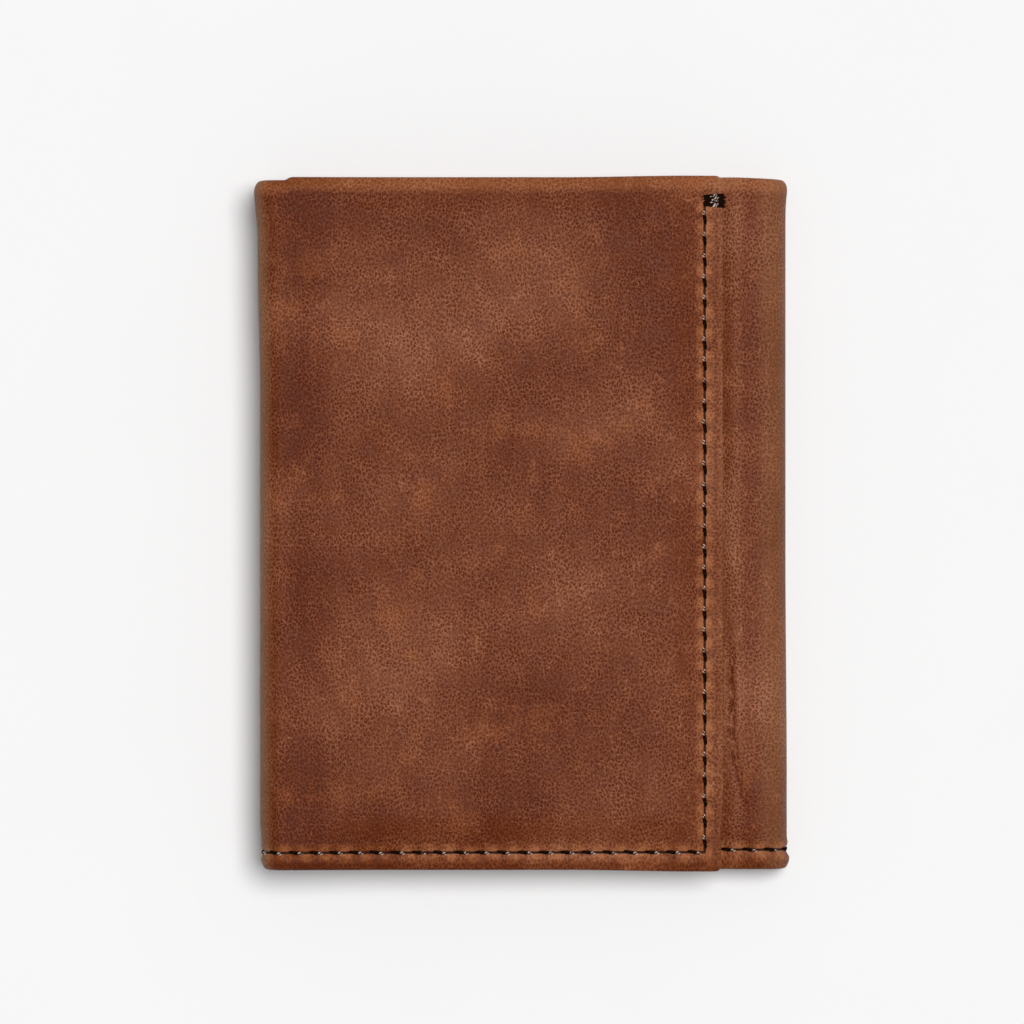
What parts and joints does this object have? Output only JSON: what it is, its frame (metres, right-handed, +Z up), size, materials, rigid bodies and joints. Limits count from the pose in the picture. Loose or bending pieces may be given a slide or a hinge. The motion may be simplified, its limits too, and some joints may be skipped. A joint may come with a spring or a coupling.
{
  "type": "trifold wallet",
  "caption": "Slim leather wallet of panels that fold over each other, with a bill space, card pockets, a clear window and sewn edges.",
  "frame": {"origin": "middle of the back panel's outside face, on the surface that the folded wallet lies on", "axes": "+Z up out of the table, through the folded stack; +Y along the folds towards the open mouth of the bill space; +X across the panels, from the left fold, where the outer flap hinges, to the right fold, where the inner flap hinges"},
  "size_m": [0.083, 0.108, 0.0155],
  "materials": {
    "cover_leather": "full-grain pull-up leather, waxed, softly mottled, pebbled fine grain",
    "pocket_leather": "thin smooth leather, semi-matt",
    "lining_cloth": "fine plain-weave lining",
    "thread": "waxed twisted thread",
    "window_film": "clear flexible film"
  },
  "bodies": {
    "back": {"cover_back": "cover_leather", "cover_bend_left_lower": "cover_leather", "cover_bend_right_lower": "cover_leather", "hem_back": "cover_leather", "lining_back": "lining_cloth", "lining_bend_left_lower": "lining_cloth", "lining_bend_right_lower": "lining_cloth", "bill_wall_back": "pocket_leather", "bill_wall_bend_left_lower": "pocket_leather", "bill_wall_bend_right_lower": "pocket_leather", "slip_pocket_back": "pocket_leather", "card_pocket_back_rear": "pocket_leather", "card_pocket_back_middle": "pocket_leather", "card_pocket_back_front": "pocket_leather", "stitching_back": "thread"},
    "left_spine": {"cover_left_spine": "cover_leather", "hem_left_spine": "cover_leather", "lining_left_spine": "lining_cloth", "bill_wall_left_spine": "pocket_leather", "stitching_left_spine": "thread"},
    "outer_flap": {"cover_outer_flap": "cover_leather", "cover_bend_left_upper": "cover_leather", "hem_outer_flap": "cover_leather", "lining_outer_flap": "lining_cloth", "lining_bend_left_upper": "lining_cloth", "bill_wall_outer_flap": "pocket_leather", "bill_wall_bend_left_upper": "pocket_leather", "slip_pocket_outer_flap": "pocket_leather", "card_pocket_outer_flap_rear": "pocket_leather", "card_pocket_outer_flap_middle": "pocket_leather", "card_pocket_outer_flap_front": "pocket_leather", "stitching_outer_flap": "thread", "bar_tack_outer_flap": "thread"},
    "right_spine": {"cover_right_spine": "cover_leather", "hem_right_spine": "cover_leather", "lining_right_spine": "lining_cloth", "bill_wall_right_spine": "pocket_leather", "stitching_right_spine": "thread"},
    "inner_flap": {"cover_inner_flap": "cover_leather", "cover_bend_right_upper": "cover_leather", "hem_inner_flap": "cover_leather", "lining_inner_flap": "lining_cloth", "lining_bend_right_upper": "lining_cloth", "bill_wall_inner_flap": "pocket_leather", "bill_wall_bend_right_upper": "pocket_leather", "window_backing": "pocket_leather", "window_film": "window_film", "window_frame": "pocket_leather", "stitching_inner_flap": "thread", "bar_tack_inner_flap": "thread"}
  },
  "joints": [
    {"name": "left_spine_fold", "type": "hinge", "parent": "back", "child": "left_spine", "pos_m": [-0.04075, 0, 0.00075], "axis": [0, -1, 0], "range_deg": [0, 90]},
    {"name": "outer_flap_fold", "type": "hinge", "parent": "left_spine", "child": "outer_flap", "pos_m": [-0.04075, 0, 0.01475], "axis": [0, -1, 0], "range_deg": [0, 90]},
    {"name": "right_spine_fold", "type": "hinge", "parent": "back", "child": "right_spine", "pos_m": [0.04075, 0, 0.00075], "axis": [0, 1, 0], "range_deg": [0, 90]},
    {"name": "inner_flap_fold", "type": "hinge", "parent": "right_spine", "child": "inner_flap", "pos_m": [0.04075, 0, 0.00815], "axis": [0, 1, 0], "range_deg": [0, 90]}
  ],
  "couplings": [
    {"joint": "outer_flap_fold", "follows": "left_spine_fold", "ratio": 1},
    {"joint": "right_spine_fold", "follows": "left_spine_fold", "ratio": 0.3333},
    {"joint": "inner_flap_fold", "follows": "left_spine_fold", "ratio": 0.3333}
  ]
}
